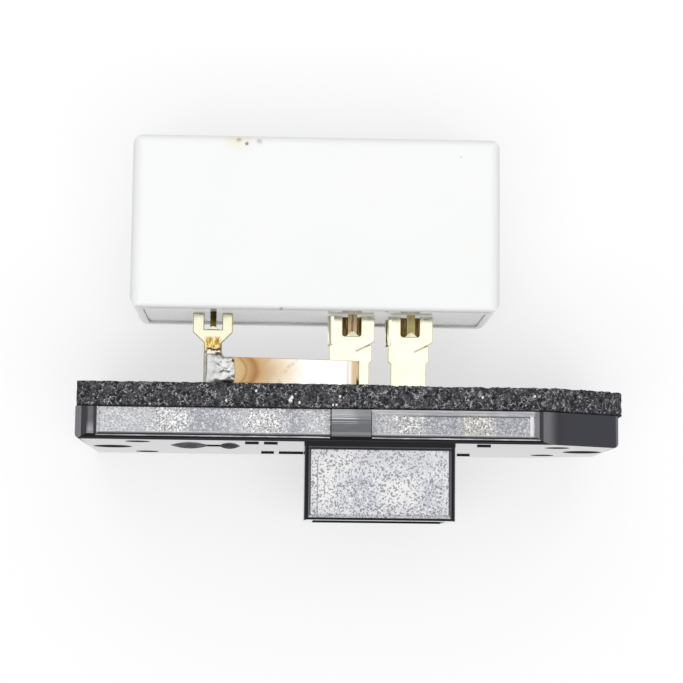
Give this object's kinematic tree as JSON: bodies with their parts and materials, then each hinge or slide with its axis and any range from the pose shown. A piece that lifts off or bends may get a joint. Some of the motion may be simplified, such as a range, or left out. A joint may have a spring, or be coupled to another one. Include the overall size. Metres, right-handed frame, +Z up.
{
  "type": "blower motor resistor",
  "caption": "Blower motor resistor: ceramic resistor block on fork terminals above a black plate with a foam gasket, a soldered fuse spring and a plug socket below.",
  "frame": {"origin": "midway between the two screw holes, on the plate's sealing face under the foam gasket", "axes": "+X along the two screw holes, toward the end with the cut corners; +Y away from the side with the fuse spring; +Z up from the plate toward the ceramic block"},
  "size_m": [0.0956, 0.037, 0.0685],
  "materials": {
    "plate_plastic": "black glass-filled polyester, glossy underside",
    "gasket_foam": "charcoal open-cell foam",
    "case_glaze": "white glaze with small brown scorch specks",
    "cement": "smooth pale cement",
    "core_ceramic": "bisque",
    "winding_wire": "oxidised resistance wire",
    "band_steel": "plated",
    "lead_metal": "heat-darkened lead wire",
    "tinned_brass": "tinned",
    "solder": "bright solder",
    "spring_bronze": "spring bronze with heat tint",
    "terminal_brass": "rolled brass"
  },
  "bodies": {
    "root": {"base_plate": "plate_plastic", "foam_gasket": "gasket_foam", "ceramic_case": "case_glaze", "cement_fill": "cement", "core_rod": "core_ceramic", "long_winding": "winding_wire", "short_winding": "winding_wire", "left_band": "band_steel", "middle_band": "band_steel", "right_band": "band_steel", "left_lead": "lead_metal", "middle_lead": "lead_metal", "right_lead": "lead_metal", "fuse_terminal": "tinned_brass", "solder_joint": "solder", "fuse_spring": "spring_bronze", "fuse_pin": "tinned_brass", "middle_terminal": "terminal_brass", "right_terminal": "terminal_brass"}
  },
  "joints": []
}
